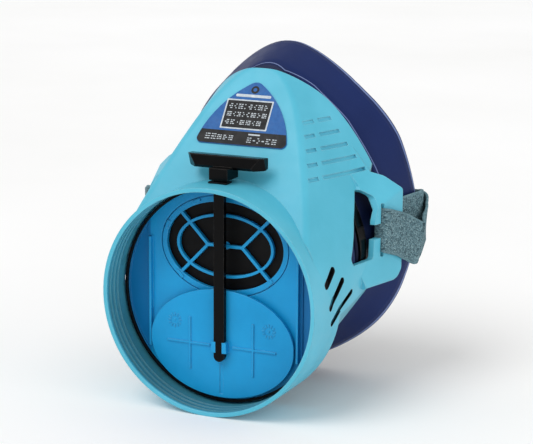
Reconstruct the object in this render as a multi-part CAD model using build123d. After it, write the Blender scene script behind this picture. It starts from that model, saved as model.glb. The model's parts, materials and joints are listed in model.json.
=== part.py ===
from build123d import *
import os
from math import cos, hypot, pi, radians, sin

# A half-mask gas respirator with one round threaded cartridge holder, its cartridge taken off.
# Origin: centre of the holder's mouth. +Z is up, +Y goes into the mask towards the face, +X is to the
# right of someone who looks into the holder. Millimetres.

# ---- driving dimensions -----------------------------------------------------------------------
RING_R = 45.3  # outside of the cartridge holder
BORE_R = 43.6  # crest radius of the holder's internal thread
THREAD_DEPTH = 0.75
THREAD_TURNS = 3
THREAD_PITCH = 3.0
THREAD_LENGTH = 9.6
RELIEF_R = 44.35  # bore behind the thread
RING_LENGTH = 26.0
WALL = 2.2
VENT_W = 2.9

PLATE_Y = 16.0  # front face of the valve plate
PLATE_R = 43.5
PLATE_T = 2.0
GASKET_R = 42.5
GASKET_T = 1.1
LEDGE_Y = 18.1  # ledge inside the ring that the plate rests against
LEDGE_T = 2.0
LEDGE_R = 40.6
RAIL_X = 31.9
RAIL_W = 0.9
RAIL_LOW = -24.0
RAIL_HIGH = 20.5
RAIL_H = 1.9

PORT_Z = 19.3  # centre of the oval inlet
PORT_A = 25.3
PORT_B = 17.8
RECESS_A = 27.6
RECESS_B = 20.4
RECESS_DEPTH = 0.9

SHUTTER_Z = -19.5
SHUTTER_A = 31.0
SHUTTER_B = 21.9
SHUTTER_Y = 13.3  # front face of the shutter
SHUTTER_T = 1.2
TRAVEL = 38.8  # lift of the shutter from parked to covering the inlet

ROD_W = 4.4
ROD_T = 2.2
ROD_Y = 11.9  # middle of the rod's thickness
ROD_LOW = -26.2
ROD_TOP = 49.0
STEM_W = 7.8
STEM_LOW = 46.5
STEM_FRONT = 10.2
STEM_BACK = 20.0
BAR_FRONT = 14.0
BAR_BACK = 21.0
BAR_HALF = 16.2
BAR_LOW = 50.1
BAR_TOP = 55.3
NOTCH = (-22.6, -18.2)  # heights of the rod's notches for the shutter's pegs
RUNNING = 0.05  # radial clearance of a running fit

CENTRE_Z = 20.0  # height about which the shell's cross-section is described
BODY_POWER = 8.0  # how sharply one panel of the shell turns into the next
UPPER_REACH = 47.9  # places the upper side panels
UPPER_NORMAL = (0.8045, -0.2621, 0.5329)
BODY_FRONT = 8.0
BODY_BACK = 66.0
FRONT_SLOPE = 0.726  # run back of the leaning front plate for each unit of height
FRONT_Y = 10.6  # depth of the front plate at FRONT_Z
FRONT_Z = 30.0
CREASE_R = 4.0
REAR_EDGE = [(48.6, 92.0), (50.4, 85.2), (58.0, 75.3), (62.5, 62.0), (63.5, 44.0), (62.0, 0.0), (58.0, -48.0)]

EAR_X = 54.8  # outer face of a strap lug at its rear edge
EAR_Y = 66.5
EAR_SLOPE = 0.248
EAR_FRONT = 30.0
EAR_FLOOR = 0.6
EAR_ROOF_POINT = (46.0, 59.5, 44.6)
EAR_ROOF_NORMAL = (0.719, -0.371, 0.588)
# Window of a lug in side view, and the line along which the lug's front merges into the side panel.
WINDOW = [(47.0, 40.4), (51.8, 36.8), (48.4, 28.0), (47.3, 12.6), (32.6, 12.8), (31.4, 15.6), (34.4, 21.0),
          (39.0, 29.4)]
EAR_START = [(48.4, 60.0), (48.4, 41.0), (40.6, 30.0), (36.0, 21.6), (34.2, 14.4), (46.0, -2.0)]
EAR_ROUND = 2.4
SLOT_Y = 53.1
SLOT_W = 2.2
WEB_LOW = 14.4
WEB_HIGH = 32.4
WEB_T = 1.3

FRAME_Y = 36.0  # front face of the inner frame's wall
FRAME_T = 2.4
FRAME_INSET = 2.6  # gap from the shell's outer form to the frame's edge
RIM_INSET = 5.5
RIM_T = 1.7
RIM_BACK = 50.0
DUCT_A = 26.3  # half-widths of the inlet duct's bore
DUCT_B = 18.5
DUCT_WALL = 2.0
FLAP_T = 0.8
FLAP_GAP = 0.3
INHALE_LIFT = 1.5
STUD_R = 1.5
BUTTON_R = 5.0

EXHALE_Z = -18.5  # centre of the exhalation valve
EXHALE_R = 10.0
SEAT_R = 13.0
GUARD_R = 15.5
GUARD_FRONT = 28.0
GUARD_T = 1.5

SCREW_R = 1.4
SCREW_HEAD_R = 2.6
PILLAR_R = 2.8
PILLARS = [(36.0, 8.0), (19.2, -20.5)]

SEAL_T = 2.6
COLLAR_FRONT = 42.0
COLLAR_INSET = 3.8
SKIRT_INSET = 3.1
SEAL_BACK = 90.0  # depth at which the rear outline is described
# Right half of the face seal's rear outline, from the nose down to the chin.
SEAL_OUTLINE = [(0.0, 97.6), (9.5, 95.4), (24.0, 87.2), (38.0, 74.2), (47.6, 59.0), (53.4, 39.0),
                (55.4, 17.4), (51.6, -5.0), (47.2, -17.0), (40.6, -28.2), (31.0, -37.4), (17.0, -45.6),
                (0.0, -49.0)]
# Side view of the seal's rear edge: depth and height.
SEAL_REAR = [(75.0, 104.0), (79.3, 93.7), (86.2, 56.0), (88.0, 18.0), (86.0, -15.0), (81.0, -46.0),
             (79.0, -56.0)]
OPENING_SCALE = 0.72

LAYER_IN_Y = 92.0  # depths of the two webbing layers behind the mask
LAYER_OUT_Y = 94.5
FOLD_PITCH = 2.8
FOLD_X = 15.0
SLIDER_X = 36.0
SLIDER_W = 10.0
KEEPER_W = 10.0


# ---- construction helpers ---------------------------------------------------------------------
def at_y(y):
    """Plane facing the front at depth y, with local axes along X and Z."""
    return Plane.XZ.offset(-y)


def slab(sketch, y_front, y_back):
    """Solid of a sketch drawn in X and Z, from y_front back to y_back."""
    return extrude(at_y(y_back) * sketch, y_back - y_front)


def box(x0, x1, y0, y1, z0, z1):
    """Box between two corners."""
    return Pos((x0 + x1) / 2, (y0 + y1) / 2, (z0 + z1) / 2) * Box(x1 - x0, y1 - y0, z1 - z0)


def disc(radius, y_front, y_back, x=0.0, z=0.0):
    """Cylinder along Y."""
    return slab(Pos(x, z) * Circle(radius), y_front, y_back)


def oval(a, b, y_front, y_back, z=PORT_Z):
    """Elliptical cylinder along Y."""
    return slab(Pos(0, z) * Ellipse(a, b), y_front, y_back)


def mirrored(shape):
    """The same shape on the other side of the mid-plane."""
    return shape.mirror(Plane.YZ)


def closed_face(points):
    """Face inside a smooth closed curve through 3-D points that lie in one plane."""
    return Face(Wire(Spline(*points, periodic=True)))


def body_panels(y, inset):
    """Outward normal and distance from the section's centre of each panel of the shell at depth y."""
    upper = (UPPER_REACH + 0.2621 * (y - 16.0)) / 0.965 - 0.552 * CENTRE_Z
    side = 45.6 + 0.19 * (y - BODY_FRONT)
    lower = 57.5 - 0.1756 * (y - BODY_FRONT)
    roof = 87.1 + 0.49 * (y - 50.3) - CENTRE_Z
    bottom = 65.0 - 0.154 * (y - BODY_FRONT)
    panels = [(0.0, 1.0, roof), (0.0, -1.0, bottom)]
    for sign in (-1, 1):
        panels += [(0.834 * sign, 0.552, upper), (1.0 * sign, 0.0, side), (0.78 * sign, -0.626, lower)]
    return [(nx, nz, reach - inset) for nx, nz, reach in panels]


def body_outline(y, inset=0.0, count=44):
    """Points of the shell's rounded cross-section at depth y, moved inwards by inset."""
    points = []
    for k in range(count):
        angle = pi / 2 - 2 * pi * k / count
        cx, cz = cos(angle), sin(angle)
        total = 0.0
        for nx, nz, reach in body_panels(y, inset):
            total += (max(nx * cx + nz * cz, 0.0) / reach) ** BODY_POWER
        radius = total ** (-1.0 / BODY_POWER)
        points.append((radius * cx, y, CENTRE_Z + radius * cz))
    return points


def body_solid(inset, y_front, y_back, middle=30.0):
    """The shell's outer form, or the same form moved inwards, between two depths."""
    depths = [y_front, middle, y_back] if y_front < middle < y_back else [y_front, y_back]
    return loft([closed_face(body_outline(y, inset)) for y in depths])


def behind_front_plate(inset):
    """Everything behind the leaning front plate, which is moved back by inset."""
    shift = inset * hypot(1.0, FRONT_SLOPE)
    reach = 140.0
    low = (FRONT_Y + shift - FRONT_SLOPE * (FRONT_Z + reach), -reach)
    high = (FRONT_Y + shift + FRONT_SLOPE * reach, FRONT_Z + reach)
    profile = Polyline(low, high, (400, high[1]), (400, low[1]), close=True)
    return extrude(Plane.YZ * make_face(profile), 150, both=True)


def ahead_of_rear_edge(shift=0.0):
    """Everything ahead of the curved rear edge of the shell."""
    edge = Spline(*[(y + shift, z) for y, z in REAR_EDGE])
    back = Polyline(edge @ 1, (-60, REAR_EDGE[-1][1]), (-60, REAR_EDGE[0][1]), edge @ 0)
    return extrude(Plane.YZ * make_face([edge, back]), 150, both=True)


def front_plate_plane(z):
    """Plane on the front plate at height z, with its normal towards the front."""
    y = FRONT_Y + FRONT_SLOPE * (z - FRONT_Z)
    return Plane((0, y, z), x_dir=(1, 0, 0), z_dir=(0, -1, FRONT_SLOPE))


# ---- front shell ------------------------------------------------------------------------------
def half_space(point, normal):
    """Everything behind the plane through a point, on the side away from its outward normal."""
    size = 400.0
    return Plane(point, z_dir=normal) * Pos(0, 0, -size / 2) * Box(size, size, size)


def upper_panel_x(y, z):
    """X of the right-hand upper side panel's outer face at a depth and a height."""
    nx, ny, nz = UPPER_NORMAL
    return (UPPER_REACH - ny * (y - PLATE_Y) - nz * z) / nx


def ear_block(inset):
    """Outer form of the right-hand strap lug as a solid block, or that block moved inwards by inset."""
    nx, ny, nz = EAR_ROOF_NORMAL
    px, py, pz = EAR_ROOF_POINT
    stretch = hypot(1.0, EAR_SLOPE)
    side_point = (EAR_X - inset * stretch, EAR_Y, 0)
    roof_point = (px - inset * nx, py - inset * ny, pz - inset * nz)
    block = box(20, 60, EAR_FRONT + inset, EAR_Y + 10, EAR_FLOOR + inset, 60)
    block &= half_space(side_point, (1.0, -EAR_SLOPE, 0))
    block &= half_space(roof_point, EAR_ROOF_NORMAL)
    return block


def behind_ear_start(shift=0.0):
    """Everything behind the line along which the lug's front merges into the side panel."""
    line = [(y + shift, z) for y, z in EAR_START]
    outline = Polyline(*line, (140, line[-1][1]), (140, line[0][1]), close=True)
    return extrude(Plane.YZ * make_face(outline), 100, both=True)


def rounded_ear():
    """The lug's solid block with the long edges of its outer face rounded."""
    block = ear_block(0.0)
    along = Vector(EAR_SLOPE, 1.0, 0).normalized()
    outer_face = max(block.faces(), key=lambda face: face.normal_at().X)
    long_edges = [edge for edge in outer_face.edges() if abs((edge % 0.5).dot(along)) > 0.7]
    return fillet(long_edges, EAR_ROUND)


def ear_trim():
    """Side view of the rear of a lug, with its two rounded corners, as a wide prism."""
    outline = make_face(Polyline((0, -80), (EAR_Y - 9, -80), (EAR_Y - 9, 0.2), (EAR_Y - 4.5, 0.2),
                                 (EAR_Y, 5.2), (EAR_Y, 38.0), (EAR_Y - 4.5, 43.5), (EAR_Y - 9, 45.5),
                                 (EAR_Y - 9, 110), (0, 110), close=True))
    rounded = [v for v in outline.vertices() if v.X > EAR_Y - 6]
    return extrude(Plane.YZ * fillet(rounded, 3.4), 100, both=True)


def side_view_cut(points, radius, x_low=30.0, x_high=70.0):
    """Rounded polygon in Y and Z, cut through along X between two distances."""
    outline = make_face(Polyline(*points, close=True))
    return extrude(Plane.YZ.offset(x_low) * fillet(outline.vertices(), radius), x_high - x_low)


def ear_cutouts():
    """Window, passage and strap slot of the right-hand lug."""
    front = SLOT_Y - SLOT_W / 2
    back = SLOT_Y + SLOT_W / 2
    window = side_view_cut(WINDOW, 1.5)
    passage = side_view_cut([(44.0, 26.2), (front + 0.6, 26.2), (front + 0.6, 20.4), (44.0, 20.4)], 0.4)
    slot = side_view_cut([(front, 34.0), (back, 34.0), (back, 12.6), (front, 12.6)], 0.9)
    return window + passage + slot


def louvres():
    """Ten shallow horizontal grooves on the right-hand upper side panel, in two columns."""
    along = (0.3098, 0.9508, 0)
    grooves = []
    for row in range(5):
        z = 66.4 - 4.95 * row
        first = FRONT_Y + FRONT_SLOPE * (z - FRONT_Z) + 2.4
        last = 54.9 + 0.45 * row
        for start, end in ((first, first + 5.6), (first + 8.2, last)):
            middle = (start + end) / 2
            plane = Plane((upper_panel_x(middle, z), middle, z), x_dir=along, z_dir=UPPER_NORMAL)
            grooves.append(plane * Box((end - start) * 1.05, 1.5, 1.5))
    return grooves


def side_vents():
    """Three slanted slots in the shell's right side for the exhaled air; they leave the cartridge's seat closed."""
    vents = []
    seat = disc(RING_R - 0.5, 0, PLATE_Y + 0.3)
    for y0, z0, y1, z1 in ((12.0, 8.1, 19.2, 14.9), (14.6, -1.1, 25.0, 9.7), (17.4, -7.6, 33.8, 2.8)):
        length = hypot(y1 - y0, z1 - z0)
        plane = Plane((30, (y0 + y1) / 2, (z0 + z1) / 2), x_dir=(0, y1 - y0, z1 - z0), z_dir=(1, 0, 0))
        vents.append(extrude(plane * SlotOverall(length, VENT_W), 30) - seat)
    return vents


def ring_grooves():
    """Grooves cut outwards from the holder's bore at the thread's pitch."""
    grooves = []
    inner = BORE_R - 1
    root = BORE_R + THREAD_DEPTH
    for turn in range(THREAD_TURNS):
        y = 2.4 + THREAD_PITCH * turn
        section = Polyline((inner, y - 1.22), (root, y - 0.4), (root, y + 0.4), (inner, y + 1.22), close=True)
        grooves.append(revolve(Plane.XY * make_face(section), Axis.Y))
    return grooves


def rod_hole(clearance):
    """Rectangular hole through the top of the ring for the shutter's rod."""
    half_w = ROD_W / 2 + clearance
    half_t = ROD_T / 2 + clearance
    return box(-half_w, half_w, ROD_Y - half_t, ROD_Y + half_t, BORE_R - 6, RING_R + 4)


def on_front_plate(edge):
    """Whether an edge lies in the front plate's outer face."""
    normal = Vector(0, -1, FRONT_SLOPE).normalized()
    offsets = [(edge.position_at(k / 6) - Vector(0, FRONT_Y, FRONT_Z)).dot(normal) for k in range(7)]
    return max(abs(offset) for offset in offsets) < 0.02


def front_shell():
    """Moulded shell: threaded holder, leaning front plate, side panels with vents, and two strap lugs."""
    outer = body_solid(0.0, BODY_FRONT, BODY_BACK) & behind_front_plate(0.0)
    outer = fillet([edge for edge in outer.edges() if on_front_plate(edge)], CREASE_R)
    outer &= ahead_of_rear_edge()
    inner = body_solid(WALL, BODY_FRONT - 1, BODY_BACK + 1) & behind_front_plate(WALL)
    ear = rounded_ear() & ear_trim() & behind_ear_start()
    ear_hollow = ear_block(WALL) & behind_ear_start(1.3 * WALL)
    outer += ear + mirrored(ear)
    ring = disc(RING_R, 0, RING_LENGTH)
    shell = outer - inner - ear_hollow - mirrored(ear_hollow)
    shell -= disc((BORE_R + RING_R) / 2, -1, RING_LENGTH - 1)
    shell += ring - disc(BORE_R, -1, RING_LENGTH + 1)
    shell -= disc(RELIEF_R, THREAD_LENGTH, RING_LENGTH + 1)
    ledge_back = LEDGE_Y + LEDGE_T
    shell += disc(RELIEF_R + 0.4, LEDGE_Y, ledge_back) - disc(LEDGE_R, LEDGE_Y - 1, ledge_back + 1)
    cuts = [ear_cutouts()] + louvres() + side_vents()
    for cut in cuts:
        shell -= cut
        shell -= mirrored(cut)
    for cut in ring_grooves():
        shell -= cut
    return shell - rod_hole(0.9)


# ---- inside the holder ------------------------------------------------------------------------
def valve_plate():
    """Blue plate at the bottom of the holder: two rails, the oval inlet and four screw pillars."""
    back = PLATE_Y + PLATE_T
    plate = disc(PLATE_R, PLATE_Y, back)
    for side in (-1, 1):
        low_x, high_x = sorted((side * (RAIL_X + 1.6), side * 50.0))
        trough = box(low_x, high_x, PLATE_Y - 1, PLATE_Y + 0.7, -50, 50)
        plate -= trough & disc(GASKET_R - 0.4, PLATE_Y - 1, back)
        plate += box(side * RAIL_X - RAIL_W / 2, side * RAIL_X + RAIL_W / 2, PLATE_Y - RAIL_H, PLATE_Y + 0.5,
                     RAIL_LOW, RAIL_HIGH)
        for x, z in PILLARS:
            pillar = disc(PILLAR_R, back - 0.2, FRAME_Y - 0.1, side * x, z)
            plate += pillar - disc(SCREW_R, FRAME_Y - 8, FRAME_Y + 1, side * x, z)
    plate -= oval(RECESS_A, RECESS_B, PLATE_Y - 1, PLATE_Y + RECESS_DEPTH)
    return plate - oval(PORT_A, PORT_B, PLATE_Y - 1, back + 1)


def bar_between(start, end, width, y_front, y_back):
    """Flat bar between two points in X and Z."""
    (x0, z0), (x1, z1) = start, end
    length = hypot(x1 - x0, z1 - z0)
    plane = Plane(((x0 + x1) / 2, y_back, (z0 + z1) / 2), x_dir=(x1 - x0, 0, z1 - z0), z_dir=(0, -1, 0))
    return extrude(plane * Rectangle(length, width), y_back - y_front)


def inlet_grille():
    """Oval grille: rim, inner oval, centre bar, four diagonal arms and six clips."""
    front = PLATE_Y + 0.1
    back = PLATE_Y + PLATE_T - 0.1
    rim_a, rim_b = RECESS_A - 0.4, RECESS_B - 0.4
    hole_a, hole_b = PORT_A - 0.1, PORT_B - 0.1
    grille = oval(rim_a, rim_b, front, PLATE_Y + RECESS_DEPTH - 0.02) - oval(hole_a, hole_b, front - 1, back)
    spokes = oval(20.9, 12.8, front + 0.2, back) - oval(19.8, 11.7, front - 1, back + 1)
    bar = 7.8
    spokes += bar_between((-bar, PORT_Z), (bar, PORT_Z), 1.2, front + 0.2, back)
    for side in (-1, 1):
        for up in (-1, 1):
            end = (side * 21.5, PORT_Z + up * 14.6)
            spokes += bar_between((side * (bar - 0.4), PORT_Z), end, 1.2, front + 0.2, back)
    grille += spokes & oval(hole_a + 0.6, hole_b + 0.6, front, PLATE_Y + RECESS_DEPTH - 0.02)
    grille += spokes & oval(hole_a - 0.05, hole_b - 0.05, front, back)
    for degrees in (20, 63, 117, 160, 223, 317):
        angle = radians(degrees)
        x, z = 26.4 * cos(angle), PORT_Z + 19.0 * sin(angle)
        across, along = 1.8 * sin(angle), 1.8 * cos(angle)
        ends = (x - across, z + along), (x + across, z - along)
        grille += bar_between(*ends, 1.3, PLATE_Y - 0.4, front + 0.3)
    return grille


def inhalation_valve():
    """Oval rubber flap behind the grille, which lifts towards the face."""
    front = PLATE_Y + PLATE_T - 0.1 + FLAP_GAP
    flap = oval(DUCT_A - 0.6, DUCT_B - 0.6, front, front + FLAP_T)
    return flap - disc(STUD_R + RUNNING, front - 1, front + 2, 0, PORT_Z)


def valve_retainer():
    """Stud through the flap, with the button that stops it."""
    front = PLATE_Y + PLATE_T - 0.1
    button = front + FLAP_GAP + FLAP_T + INHALE_LIFT + 0.3
    stud = disc(STUD_R, front, button + 0.5, 0, PORT_Z)
    return stud + disc(BUTTON_R, button, button + 1.2, 0, PORT_Z)


def chamber_gasket():
    """Flat black ring that a cartridge seals against."""
    return disc(PLATE_R, PLATE_Y - GASKET_T, PLATE_Y) - disc(GASKET_R, PLATE_Y - 2, PLATE_Y + 1)


# ---- seal-check shutter -----------------------------------------------------------------------
def date_dial(x, z):
    """Ring of twelve plain moulded ticks."""
    dial = disc(0.5, SHUTTER_Y - 0.25, SHUTTER_Y + 0.2, x, z)
    for k in range(12):
        angle = 2 * pi * k / 12
        near = (x + 1.7 * cos(angle), z + 1.7 * sin(angle))
        far = (x + 2.9 * cos(angle), z + 2.9 * sin(angle))
        dial += bar_between(near, far, 0.45, SHUTTER_Y - 0.25, SHUTTER_Y + 0.2)
    return dial


def shutter_plate():
    """Oval shutter with two moulded crosses, two date dials, a centre groove and two pegs for the rod."""
    back = SHUTTER_Y + SHUTTER_T
    shutter = oval(SHUTTER_A, SHUTTER_B, SHUTTER_Y, back, SHUTTER_Z)
    shutter &= box(-30.9, 30.9, 0, 30, -60, 60)
    cross_x, cross_z = 13.7, -20.4
    for side in (-1, 1):
        start_x, end_x = side * (cross_x - 8.8), side * (cross_x + 9.9)
        shutter += bar_between((start_x, cross_z), (end_x, cross_z), 0.8, SHUTTER_Y - 0.5, SHUTTER_Y + 0.2)
        low, high = (side * cross_x, cross_z - 10.8), (side * cross_x, cross_z + 10.5)
        shutter += bar_between(low, high, 0.8, SHUTTER_Y - 0.5, SHUTTER_Y + 0.2)
        shutter += date_dial(side * 20.4, -12.0)
        low_x, high_x = sorted((side * 1.4, side * 3.2))
        shutter += box(low_x, high_x, ROD_Y - ROD_T / 2 - 0.2, SHUTTER_Y + 0.2, *NOTCH)
    return shutter - box(-0.7, 0.7, SHUTTER_Y - 1, SHUTTER_Y + 0.25, -40.0, -27.5)


def shutter_seal():
    """Rubber pad on the back of the shutter."""
    back = SHUTTER_Y + SHUTTER_T
    return oval(27.2, 19.2, back, back + 1.1, SHUTTER_Z)


def shutter_rod():
    """Flat black rod with a rounded lower end and a notch on each side for the shutter's pegs."""
    front, back = ROD_Y - ROD_T / 2, ROD_Y + ROD_T / 2
    half = ROD_W / 2
    rod = box(-half, half, front, back, ROD_LOW + half, ROD_TOP)
    rod += disc(half, front, back, 0, ROD_LOW + half)
    for side in (-1, 1):
        low_x, high_x = sorted((side * 1.4, side * 4.0))
        rod -= box(low_x, high_x, front - 1, back + 1, *NOTCH)
    return rod


def rod_seal():
    """Grommet in the ring's wall, with a small flange outside."""
    gap = 0.88
    sleeve = rod_hole(gap) & box(-20, 20, 0, 40, BORE_R - 0.5, RING_R + 0.6)
    flange = box(-ROD_W / 2 - 1.7, ROD_W / 2 + 1.7, ROD_Y - ROD_T / 2 - 1.5, ROD_Y + ROD_T / 2 + 1.5,
                 RING_R + 0.02, RING_R + 0.6)
    return sleeve + flange - rod_hole(RUNNING)


def lever_knob():
    """T-bar that a thumb pushes up, with the stem that holds the rod."""
    stem = box(-STEM_W / 2, STEM_W / 2, STEM_FRONT, STEM_BACK, STEM_LOW, BAR_LOW + 1.0)
    profile = Polyline((BAR_FRONT, BAR_LOW + 1.2), (BAR_FRONT + 1.6, BAR_TOP), (BAR_BACK, BAR_TOP - 0.4),
                       (BAR_BACK, BAR_LOW + 0.6), (BAR_FRONT + 4.4, BAR_LOW), (BAR_FRONT + 1.2, BAR_LOW),
                       close=True)
    side_view = make_face(profile)
    side_view = fillet(side_view.vertices(), 0.5)
    bar = extrude(Plane.YZ * side_view, BAR_HALF, both=True)
    for side in (-1, 1):
        bar &= half_space((side * 12.6, 15.2, BAR_LOW), (0.70 * side, -0.66, -0.27))
    pocket = box(-ROD_W / 2, ROD_W / 2, ROD_Y - ROD_T / 2, ROD_Y + ROD_T / 2, STEM_LOW - 1, ROD_TOP)
    return stem + bar - pocket


# ---- label ------------------------------------------------------------------------------------
def label_plate():
    """Rounded triangular label, half a millimetre thick, on the leaning front plate."""
    base_z, apex_z, half = 56.8, 80.0, 19.9
    rise = hypot(1.0, FRONT_SLOPE)
    top = (apex_z - base_z) * rise
    left = ThreePointArc((-half, 0), (-13.4, 0.56 * top), (0, top))
    right = ThreePointArc((0, top), (13.4, 0.56 * top), (half, 0))
    outline = make_face([Line((-half, 0), (half, 0)), right, left])
    corners = sorted(outline.vertices(), key=lambda v: v.Y)
    outline = fillet(corners[:2], 2.2)
    outline = fillet(sorted(outline.vertices(), key=lambda v: v.Y)[-1:], 4.0)
    return extrude(front_plate_plane(base_z) * outline, 0.5)


# ---- inner frame, exhalation valve, fasteners -------------------------------------------------
def form(inset, y_front, y_back):
    """The shell's form moved inwards by inset, between two depths and behind the front plate."""
    return body_solid(inset, y_front, y_back) & behind_front_plate(inset)


def inner_frame():
    """Wall across the shell with the inlet duct, the exhalation port and a rim for the face seal."""
    back = FRAME_Y + FRAME_T
    frame = form(FRAME_INSET, FRAME_Y, back)
    frame += form(RIM_INSET, FRAME_Y + 0.5, RIM_BACK) - form(RIM_INSET + RIM_T, FRAME_Y, RIM_BACK + 1)
    wall = form(RIM_INSET + 0.5, FRAME_Y, back)
    frame += wall
    duct = oval(DUCT_A + DUCT_WALL, DUCT_B + DUCT_WALL, PLATE_Y + PLATE_T + 0.05, back)
    frame += duct
    frame -= oval(DUCT_A, DUCT_B, PLATE_Y, back + 1)
    frame -= disc(EXHALE_R + 1.0, FRAME_Y - 1, back + 1, 0, EXHALE_Z)
    for side in (-1, 1):
        for x, z in PILLARS:
            frame -= disc(SCREW_R + 0.1, FRAME_Y - 1, back + 1, side * x, z)
    return frame


def exhalation_seat():
    """Flanged ring with a cross, against which the exhalation valve closes."""
    front = FRAME_Y - 1.4
    seat = disc(SEAT_R, front, FRAME_Y) + disc(EXHALE_R + 1.0, FRAME_Y, FRAME_Y + FRAME_T)
    seat -= disc(EXHALE_R - 0.6, front - 1, FRAME_Y + FRAME_T + 1)
    hub = disc(2.6, front, FRAME_Y + 1.0)
    for degrees in (0, 60, 120):
        hub += Rot(0, degrees, 0) * box(-EXHALE_R, EXHALE_R, front, front + 1.4, -0.7, 0.7)
    return Pos(0, 0, EXHALE_Z) * (seat + hub)


def exhalation_valve():
    """Rubber disc that lifts off its seat when the wearer breathes out."""
    back = FRAME_Y - 1.4 - FLAP_GAP
    valve = disc(EXHALE_R + 1.6, back - FLAP_T, back)
    return Pos(0, 0, EXHALE_Z) * (valve - disc(STUD_R + RUNNING, back - 3, back + 1))


def exhalation_guard():
    """Cage over the exhalation valve with a centre stud and six windows in its side."""
    guard = disc(GUARD_R, GUARD_FRONT, FRAME_Y) - disc(GUARD_R - GUARD_T, GUARD_FRONT + GUARD_T, FRAME_Y + 1)
    for k in range(6):
        window = box(-3.4, 3.4, GUARD_FRONT + 2.4, FRAME_Y - 2.2, GUARD_R - 3, GUARD_R + 2)
        guard -= Rot(0, 60 * k + 30, 0) * window
    guard += disc(STUD_R, GUARD_FRONT + 0.5, FRAME_Y - 1.4)
    return Pos(0, 0, EXHALE_Z) * guard


def frame_screws():
    """Four screws from the face side through the frame into the plate's pillars."""
    screws = Part()
    back = FRAME_Y + FRAME_T
    for side in (-1, 1):
        for x, z in PILLARS:
            screw = disc(SCREW_R, FRAME_Y - 7, back + 0.5, side * x, z)
            screw += disc(SCREW_HEAD_R, back, back + 1.5, side * x, z)
            slot = bar_between((side * x - 1.5, z), (side * x + 1.5, z), 0.7, back + 0.8, back + 2)
            cross = bar_between((side * x, z - 1.5), (side * x, z + 1.5), 0.7, back + 0.8, back + 2)
            screws += screw - slot - cross
    return screws


# ---- face seal --------------------------------------------------------------------------------
def seal_outline(scale=1.0, y=SEAL_BACK):
    """Face seal's rear outline, scaled about the middle of the face opening."""
    right = [(x * scale, CENTRE_Z + (z - CENTRE_Z) * scale) for x, z in SEAL_OUTLINE]
    left = [(-x, z) for x, z in right[-2:0:-1]]
    return [(x, y, z) for x, z in right + left]


def ahead_of_seal_rear(shift=0.0):
    """Everything ahead of the seal's curved rear edge."""
    edge = Spline(*[(y + shift, z) for y, z in SEAL_REAR])
    back = Polyline(edge @ 1, (0, SEAL_REAR[-1][1]), (0, SEAL_REAR[0][1]), edge @ 0)
    return extrude(Plane.YZ * make_face([edge, back]), 150, both=True)


def seal_form(collar, skirt, scale, y_front):
    """Solid form of the face seal, from the insets of its collar and skirt and its rear outline's scale."""
    sections = [body_outline(y_front, collar), body_outline(49.0, collar), body_outline(63.0, skirt)]
    return loft([closed_face(points) for points in sections + [seal_outline(scale)]])


def face_seal():
    """Elastomer facepiece: collar on the inner frame, flared skirt and the lip turned in against the face."""
    outer = seal_form(COLLAR_INSET, SKIRT_INSET, 1.0, COLLAR_FRONT) & behind_front_plate(COLLAR_INSET)
    outer &= ahead_of_seal_rear()
    inside = RIM_INSET - 0.1
    hollow = seal_form(inside, SKIRT_INSET + SEAL_T, 0.94, COLLAR_FRONT - 1) & behind_front_plate(inside)
    opening = closed_face(seal_outline(OPENING_SCALE, 60.0))
    return outer - (hollow & ahead_of_seal_rear(-SEAL_T)) - extrude(opening, 50, dir=(0, 1, 0))


def seal_clamp():
    """Band that holds the face seal's collar on the inner frame."""
    outer = form(FRAME_INSET, COLLAR_FRONT + 1.0, COLLAR_FRONT + 5.5)
    return outer - form(COLLAR_INSET - 0.1, COLLAR_FRONT, COLLAR_FRONT + 7)


# ---- head strap -------------------------------------------------------------------------------
def strap_route():
    """Plan view of the webbing: through the right lug, folded flat behind the mask, through the left lug."""
    slot_x = EAR_X - EAR_SLOPE * (EAR_Y - SLOT_Y)
    inner = [(SLIDER_X - 13, LAYER_IN_Y), (54.0, LAYER_IN_Y), (58.0, 88.0), (54.8, 77.0), (51.4, 67.0),
             (slot_x - 3.7, SLOT_Y)]
    outer = [(slot_x + 1.4, SLOT_Y), (EAR_X + 1.2, EAR_Y), (60.6, 86.0), (56.5, LAYER_OUT_Y)]
    middle_y, back_y = LAYER_OUT_Y + FOLD_PITCH, LAYER_OUT_Y + 2 * FOLD_PITCH
    folds = [(-FOLD_X, LAYER_OUT_Y), (-FOLD_X, middle_y), (FOLD_X, middle_y), (FOLD_X, back_y),
             (-FOLD_X - 3, back_y), (-FOLD_X - 7, LAYER_OUT_Y)]
    left = [(-x, y) for x, y in reversed(inner + outer)]
    return inner + outer + folds + left


def head_strap():
    """Elastic webbing, modelled as one upright ribbon along its plan-view route."""
    points = strap_route()
    height = WEB_HIGH - WEB_LOW
    ribbon = Part()
    for (x0, y0), (x1, y1) in zip(points, points[1:]):
        plane = Plane(((x0 + x1) / 2, (y0 + y1) / 2, WEB_LOW), x_dir=(x1 - x0, y1 - y0, 0), z_dir=(0, 0, 1))
        ribbon += extrude(plane * Rectangle(hypot(x1 - x0, y1 - y0), WEB_T), height)
    for x, y in points[1:-1]:
        ribbon += extrude(Pos(x, y, WEB_LOW) * Circle(WEB_T / 2), height)
    return ribbon


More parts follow.
